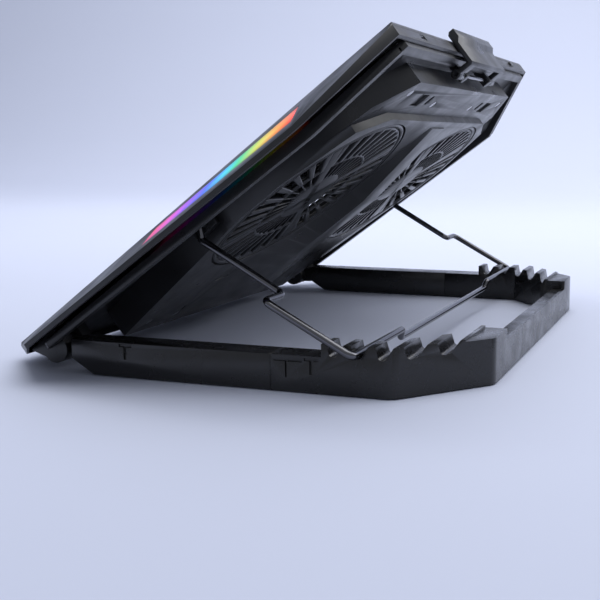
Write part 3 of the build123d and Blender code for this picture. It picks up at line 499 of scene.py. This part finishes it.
def honeycomb(pitch, bar):
    """A sheet of six-sided holes over the mesh's outline, with a plain border."""
    half, low, high, corner = MESH_HALF, MESH_LOW, MESH_HIGH, MESH_CORNER
    bm = bmesh.new()
    radius = pitch / math.sqrt(3)
    rows = int((high - low) / (radius * 1.5)) + 2
    columns = int(half / pitch) + 1
    for row in range(rows):
        shift = pitch / 2 if row % 2 else 0.0
        for column in range(-columns, columns + 1):
            at = Vector((column * pitch + shift, low + row * radius * 1.5, 0)) * MM
            bmesh.ops.create_circle(bm, cap_ends=True, segments=6, radius=radius * MM,
                                    matrix=Matrix.Translation(at))
    cells = bm.faces[:]
    bmesh.ops.inset_individual(bm, faces=cells, thickness=bar / 2 * MM, depth=0)
    bmesh.ops.delete(bm, geom=cells, context="FACES")
    bmesh.ops.remove_doubles(bm, verts=bm.verts, dist=0.02 * MM)
    inner = MESH_TRIM
    planes = [((half - inner, 0), (1, 0)), ((-half + inner, 0), (-1, 0)),
              ((0, low + inner), (0, -1)), ((0, high - inner), (0, 1))]
    middle, reach = (low + high) / 2, (high - low) / 2
    for sx in (1, -1):
        for sy in (1, -1):
            mid = Vector((sx * (half - corner / 2), middle + sy * (reach - corner / 2)))
            out = Vector((sx, sy)).normalized()
            planes.append(((mid - out * inner), out))
    for point, normal in planes:
        bmesh.ops.bisect_plane(bm, geom=all_of(bm), plane_co=(point[0] * MM, point[1] * MM, 0),
                               plane_no=(*normal, 0), clear_outer=True)
    return bm


def mesh_border(thickness):
    """The plain rim of the mesh sheet."""
    bm = bmesh.new()
    half, low, high, corner = MESH_HALF, MESH_LOW, MESH_HIGH, MESH_CORNER
    points = [(half - corner, low), (half, low + corner), (half, high - corner), (half - corner, high)]
    loop = points + [(-x, y) for x, y in reversed(points)]
    corners = [bm.verts.new((x * MM, y * MM, 0)) for x, y in loop]
    face = bm.faces.new(corners)
    bmesh.ops.inset_region(bm, faces=[face], thickness=MESH_BORDER * MM, depth=0, use_boundary=True,
                           use_even_offset=True)
    bmesh.ops.delete(bm, geom=[face], context="FACES")
    bmesh.ops.solidify(bm, geom=bm.faces[:], thickness=thickness * MM)
    return bm


class COOLPAD_OT_mesh(bpy.types.Operator):
    """Build the perforated sheet on top of the deck"""
    bl_idname = "coolpad.mesh"
    bl_label = "Top mesh"

    def execute(self, context):
        sizes = context.scene.coolpad_sizes
        sheet = honeycomb(sizes.mesh_pitch, sizes.mesh_bar)
        bmesh.ops.recalc_face_normals(sheet, faces=sheet.faces)
        bmesh.ops.solidify(sheet, geom=sheet.faces[:], thickness=0.7 * MM)
        place = DECK @ Matrix.Translation((0, 0, -0.75 * MM))
        made = to_object("top_mesh_sheet", sheet, place)
        dress(made, "deck", finish_for("mesh_metal"), "mesh_metal", "top_mesh")
        rim = to_object("top_mesh_rim", mesh_border(0.78), DECK @ Matrix.Translation((0, 0, -0.79 * MM)))
        dress(rim, "deck", finish_for("mesh_metal"), "mesh_metal")
        return {"FINISHED"}


# ---------------------------------------------------------------- fans
def guard_form(slats):
    """Fan guard: tube rim, crowned radial slats, inner ring, crossed ribs and a dished hub plate."""
    bm = bmesh.new()
    middle = (GUARD_LOW + GUARD_HIGH) / 2
    ring(bm, 66.6, 1.45, middle)
    ring(bm, 63.6, 1.1, middle + 0.1)
    ring(bm, 38.6, 1.35, middle)
    ring(bm, 19.6, 1.35, middle)
    slat = bmesh.new()
    box(slat, (SLAT_INNER, SLAT_OUTER), (-1.9, 1.9), (-GUARD_LOW + 0.05, -GUARD_HIGH), edge=0.9, segments=3)
    for v in slat.verts:
        v.co.y *= 0.75 + 0.5 * (v.co.x / MM - SLAT_INNER) / (SLAT_OUTER - SLAT_INNER)
    around_axis(slat, all_of(slat), slats)
    join_into(bm, slat)
    spoke = bmesh.new()
    box(spoke, (19.0, SLAT_INNER), (-0.55, 0.55), (-GUARD_LOW + 0.4, -GUARD_HIGH - 0.3), edge=0.3)
    around_axis(spoke, all_of(spoke), slats)
    join_into(bm, spoke)
    for turn in (math.pi / 4, 3 * math.pi / 4):
        rib = bmesh.new()
        box(rib, (-64.0, 64.0), (-3.3, 3.3), (-GUARD_LOW + 0.05, -GUARD_HIGH), edge=0.8, segments=3)
        bmesh.ops.rotate(rib, cent=(0, 0, 0), matrix=Matrix.Rotation(turn, 3, "Z"), verts=rib.verts)
        join_into(bm, rib)
    drum(bm, Matrix.Translation((0, 0, -middle * MM)), HUB_RADIUS, GUARD_LOW - GUARD_HIGH - 0.1, edge=0.7)
    return bm


def rotor_form(blades):
    """Fan: hub cap with a softened rim, and curved, pitched blades."""
    bm = bmesh.new()
    top, height = 7.0, 11.0
    blade = bmesh.new()
    bmesh.ops.create_grid(blade, x_segments=10, y_segments=8, size=0.5)
    for v in blade.verts:
        out, across = v.co.x + 0.5, v.co.y
        radius = 17.5 + out * (60.4 - 17.5)
        chord = math.radians(31 + 5 * out)
        angle = across * chord + math.radians(16) * out * out
        rise = -across * (height - 1.6) * (1 - 0.12 * out) + 0.9 * (0.25 - across * across) * 4
        v.co = Vector((radius * math.cos(angle), radius * math.sin(angle), rise - top - height / 2)) * MM
    bmesh.ops.recalc_face_normals(blade, faces=blade.faces)
    bmesh.ops.solidify(blade, geom=blade.faces[:], thickness=1.2 * MM)
    around_axis(blade, all_of(blade), blades)
    join_into(bm, blade)
    drum(bm, Matrix.Translation((0, 0, -(top + height / 2) * MM)), 19.0, height - 0.2, 64, edge=1.4)
    return bm


class COOLPAD_OT_guards(bpy.types.Operator):
    """Build the two slotted fan guards"""
    bl_idname = "coolpad.guards"
    bl_label = "Fan guards"

    def execute(self, context):
        for name, side in SIDES.items():
            place = DECK @ Matrix.Translation((side * FAN_X * MM, FAN_ALONG * MM, 0))
            made = to_object(f"guard_{name}", guard_form(context.scene.coolpad_sizes.slats), place)
            dress(made, "deck", finish_for("underside_plastic"), "underside_plastic", f"fan_guard_{name}")
        return {"FINISHED"}


class COOLPAD_OT_rotors(bpy.types.Operator):
    """Build the two fans"""
    bl_idname = "coolpad.rotors"
    bl_label = "Fans"

    def execute(self, context):
        for name, side in SIDES.items():
            place = DECK @ Matrix.Translation((side * FAN_X * MM, FAN_ALONG * MM, 0))
            made = to_object(f"fan_{name}", rotor_form(context.scene.coolpad_sizes.blades), place)
            dress(made, f"fan_{name}", finish_for("fan_plastic"), "fan_plastic", f"fan_rotor_{name}")
        return {"FINISHED"}


# ---------------------------------------------------------------- base
def base_grooves():
    """T-shaped vents and seam lines in the base frame's outer sides."""
    rail, rear = bmesh.new(), bmesh.new()
    for side in SIDES.values():
        face = side * HALF_BASE
        span = (face - 1.3, face + 1.3)
        box(rail, span, (78.9, 86.6), (17.3, 18.8))
        box(rail, span, (81.8, 83.4), (10.6, 17.5))
        box(rear, span, (187.3, 195.0), (17.0, 18.5))
        box(rear, span, (190.3, 191.9), (10.2, 17.2))
        box(rear, span, (170.5, 186.2), (16.2, 17.0))
        box(rear, span, (176.8, 177.7), (8.0, 16.3))
    for step in range(4):
        z = 19.3 + 1.5 * step
        for side in SIDES.values():
            x = side * 100.0
            box(rear, (x - 0.8, x + 0.8), (262.0, 273.0), (z - 0.3, z + 0.3))
    return rail, rear


class COOLPAD_OT_base(bpy.types.Operator):
    """Build the base's side rails and notched rear frame"""
    bl_idname = "coolpad.base"
    bl_label = "Base frame"

    def execute(self, context):
        edge = context.scene.coolpad_sizes.edge
        rail_cut, rear_cut = base_grooves()
        cutters = {}
        for key, cut in (("rail", rail_cut), ("rear", rear_cut)):
            bmesh.ops.transform(cut, matrix=TABLE, verts=cut.verts)
            cutters[key] = cut
        for name in SIDES:
            made = carved(f"rail_{name}", f"base_side_rail_{name}", cutters["rail"].copy(), edge)
            dress(made, "base", finish_for("base_plastic"), "base_plastic", f"base_side_rail_{name}")
        cutters["rail"].free()
        made = carved("rear_frame", "base_rear_frame", cutters["rear"], edge)
        dress(made, "base", finish_for("base_plastic"), "base_plastic", "base_rear_frame")
        return {"FINISHED"}


# ---------------------------------------------------------------- softened frame pieces
SOFTENED = (
    ("phone_rest", "rest", "underside_plastic", 0.5),
    ("bail_clip_right", "deck", "underside_plastic", 0.4),
    ("bail_clip_left", "deck", "underside_plastic", 0.4),
    ("laptop_stopper_right", "stopper_right", "trim_plastic", 0.5),
    ("laptop_stopper_left", "stopper_left", "trim_plastic", 0.5),
    ("light_button", "button", "trim_plastic", 0.3),
    ("rubber_feet", "base", "rubber", 0.3),
    ("grip_pads", "deck", "rubber", 0.3),
    ("light_bar_right", "deck", "diffuser", 0.3),
    ("light_bar_left", "deck", "diffuser", 0.3),
    ("bail_wire", "bail", "dark_chrome", 0.0),
)


class COOLPAD_OT_softened(bpy.types.Operator):
    """Build the small mouldings, rubber, light bars and bail with rounded edges"""
    bl_idname = "coolpad.softened"
    bl_label = "Small mouldings and bail"

    def execute(self, context):
        for node, body, slot, edge in SOFTENED:
            made = carved(node + "_piece", node, edge=edge)
            dress(made, body, finish_for(slot), slot, node)
        return {"FINISHED"}


class COOLPAD_OT_strips(bpy.types.Operator):
    """Build the narrow lamp strips behind the light bars"""
    bl_idname = "coolpad.strips"
    bl_label = "Lamp strips"

    def execute(self, context):
        for name, side in SIDES.items():
            strip = merged_copy(f"light_board_{name}")
            for edge in (LAMP_MIDDLE - LAMP_HALF, LAMP_MIDDLE + LAMP_HALF):
                outward = 1 if edge > LAMP_MIDDLE else -1
                cut = bmesh.ops.bisect_plane(strip, geom=all_of(strip), plane_co=(side * edge * MM, 0, 0),
                                             plane_no=(side * outward, 0, 0), clear_outer=True)
                rim = [e for e in cut["geom_cut"] if isinstance(e, bmesh.types.BMEdge)]
                bmesh.ops.holes_fill(strip, edges=rim)
            bmesh.ops.recalc_face_normals(strip, faces=strip.faces)
            made = to_object(f"lamp_strip_{name}", strip)
            dress(made, "deck", finish_for("board"), "board", f"light_board_{name}")
        return {"FINISHED"}


class COOLPAD_OT_carried(bpy.types.Operator):
    """Finish the frame nodes that are shown as they are"""
    bl_idname = "coolpad.carried"
    bl_label = "Pins, screws and boards"

    def execute(self, context):
        slots = {row["node"]: row["material_slot"] for row in frame["record"]["subparts"]}
        for name, made in frame["nodes"].items():
            if made.hide_render:
                continue
            made.data.materials.clear()
            made.data.materials.append(finish_for(slots[name]))
        return {"FINISHED"}


# ---------------------------------------------------------------- stage
def softbox(name, place, target, size, power, colour=(1, 1, 1)):
    lamp = bpy.data.lights.new(name, "AREA")
    lamp.shape, lamp.size, lamp.size_y = "RECTANGLE", size[0], size[1]
    lamp.energy, lamp.color = power, colour
    made = bpy.data.objects.new(name, lamp)
    made.location = place
    made.rotation_euler = (Vector(target) - Vector(place)).to_track_quat("-Z", "Y").to_euler()
    bpy.context.scene.collection.objects.link(made)


class COOLPAD_OT_stage(bpy.types.Operator):
    """Build the floor, lights and camera"""
    bl_idname = "coolpad.stage"
    bl_label = "Stage"

    def execute(self, context):
        scene = context.scene
        floor = bmesh.new()
        profile = [(8.0, 0.0), (SWEEP_START, 0.0)]
        for step in range(1, SWEEP_STEPS + 1):
            angle = math.pi / 2 * step / SWEEP_STEPS
            profile.append((SWEEP_START - SWEEP_RADIUS * math.sin(angle),
                            SWEEP_RADIUS - SWEEP_RADIUS * math.cos(angle)))
        profile.append((SWEEP_START - SWEEP_RADIUS, 6.0))
        rows = [[floor.verts.new((x, y, z)) for x, z in profile] for y in (-9.0, 9.0)]
        for index in range(len(profile) - 1):
            floor.faces.new((rows[0][index], rows[0][index + 1], rows[1][index + 1], rows[1][index]))
        bmesh.ops.recalc_face_normals(floor, faces=floor.faces)
        made = to_object("floor", floor)
        sweep = Finish("matt floor", tuple(scene.coolpad_colours.floor), 0.7)
        sweep.drive(sweep.span(sweep.noise(3.0), 0.62, 0.78), "Roughness")
        made.data.materials.append(sweep.material)
        world = bpy.data.worlds.new("studio")
        world.use_nodes = True
        world.node_tree.nodes["Background"].inputs["Color"].default_value = (0.86, 0.90, 1.0, 1)
        world.node_tree.nodes["Background"].inputs["Strength"].default_value = 0.42
        scene.world = world
        softbox("overhead", (-0.3, 0.2, 1.9), (-0.1, 0, 0), (2.4, 2.4), 34)
        softbox("back", (-1.3, 1.3, 1.2), (0, 0, 0.05), (1.4, 1.0), 12)
        softbox("backdrop_wash", (-0.6, -0.5, 2.2), (-3.0, -0.6, 1.0), (2.6, 2.0), 44)
        cam = bpy.data.cameras.new("camera")
        cam.lens, cam.sensor_width, cam.shift_x = CAMERA_LENS, 36.0, CAMERA_SHIFT
        cam.dof.use_dof = False
        cam.clip_start, cam.clip_end = 0.01, 50.0
        eye = bpy.data.objects.new("camera", cam)
        forward = Vector((
            -math.cos(CAMERA_TURN) * math.cos(CAMERA_TILT),
            -math.sin(CAMERA_TURN) * math.cos(CAMERA_TILT), math.sin(CAMERA_TILT),
        ))
        eye.location = CAMERA_PLACE
        eye.rotation_euler = forward.to_track_quat("-Z", "Y").to_euler()
        scene.collection.objects.link(eye)
        scene.camera = eye
        scene.view_settings.view_transform = "Standard"
        return {"FINISHED"}


OPERATORS = (
    COOLPAD_OT_deck, COOLPAD_OT_mesh, COOLPAD_OT_guards, COOLPAD_OT_rotors, COOLPAD_OT_base,
    COOLPAD_OT_softened, COOLPAD_OT_strips, COOLPAD_OT_carried, COOLPAD_OT_stage,
)


class COOLPAD_PT_panel(bpy.types.Panel):
    """Sizes, colours and pieces of the cooling pad"""
    bl_idname = "COOLPAD_PT_panel"
    bl_label = "Cooling Pad"
    bl_space_type = "VIEW_3D"
    bl_region_type = "UI"
    bl_category = "Cooling Pad"

    def draw(self, context):
        for group in (context.scene.coolpad_sizes, context.scene.coolpad_colours):
            for key in group.__annotations__:
                self.layout.prop(group, key)
        for operator in OPERATORS:
            self.layout.operator(operator.bl_idname)


CLASSES = (CoolpadSizes, CoolpadColours, *OPERATORS, COOLPAD_PT_panel)


def register():
    for kind in CLASSES:
        bpy.utils.register_class(kind)
    bpy.types.Scene.coolpad_sizes = PointerProperty(type=CoolpadSizes)
    bpy.types.Scene.coolpad_colours = PointerProperty(type=CoolpadColours)


def unregister():
    del bpy.types.Scene.coolpad_sizes
    del bpy.types.Scene.coolpad_colours
    for kind in reversed(CLASSES):
        bpy.utils.unregister_class(kind)


def main():
    register()
    for operator in OPERATORS:
        group, name = operator.bl_idname.split(".")
        getattr(getattr(bpy.ops, group), name)()


if __name__ == "__main__":
    main()
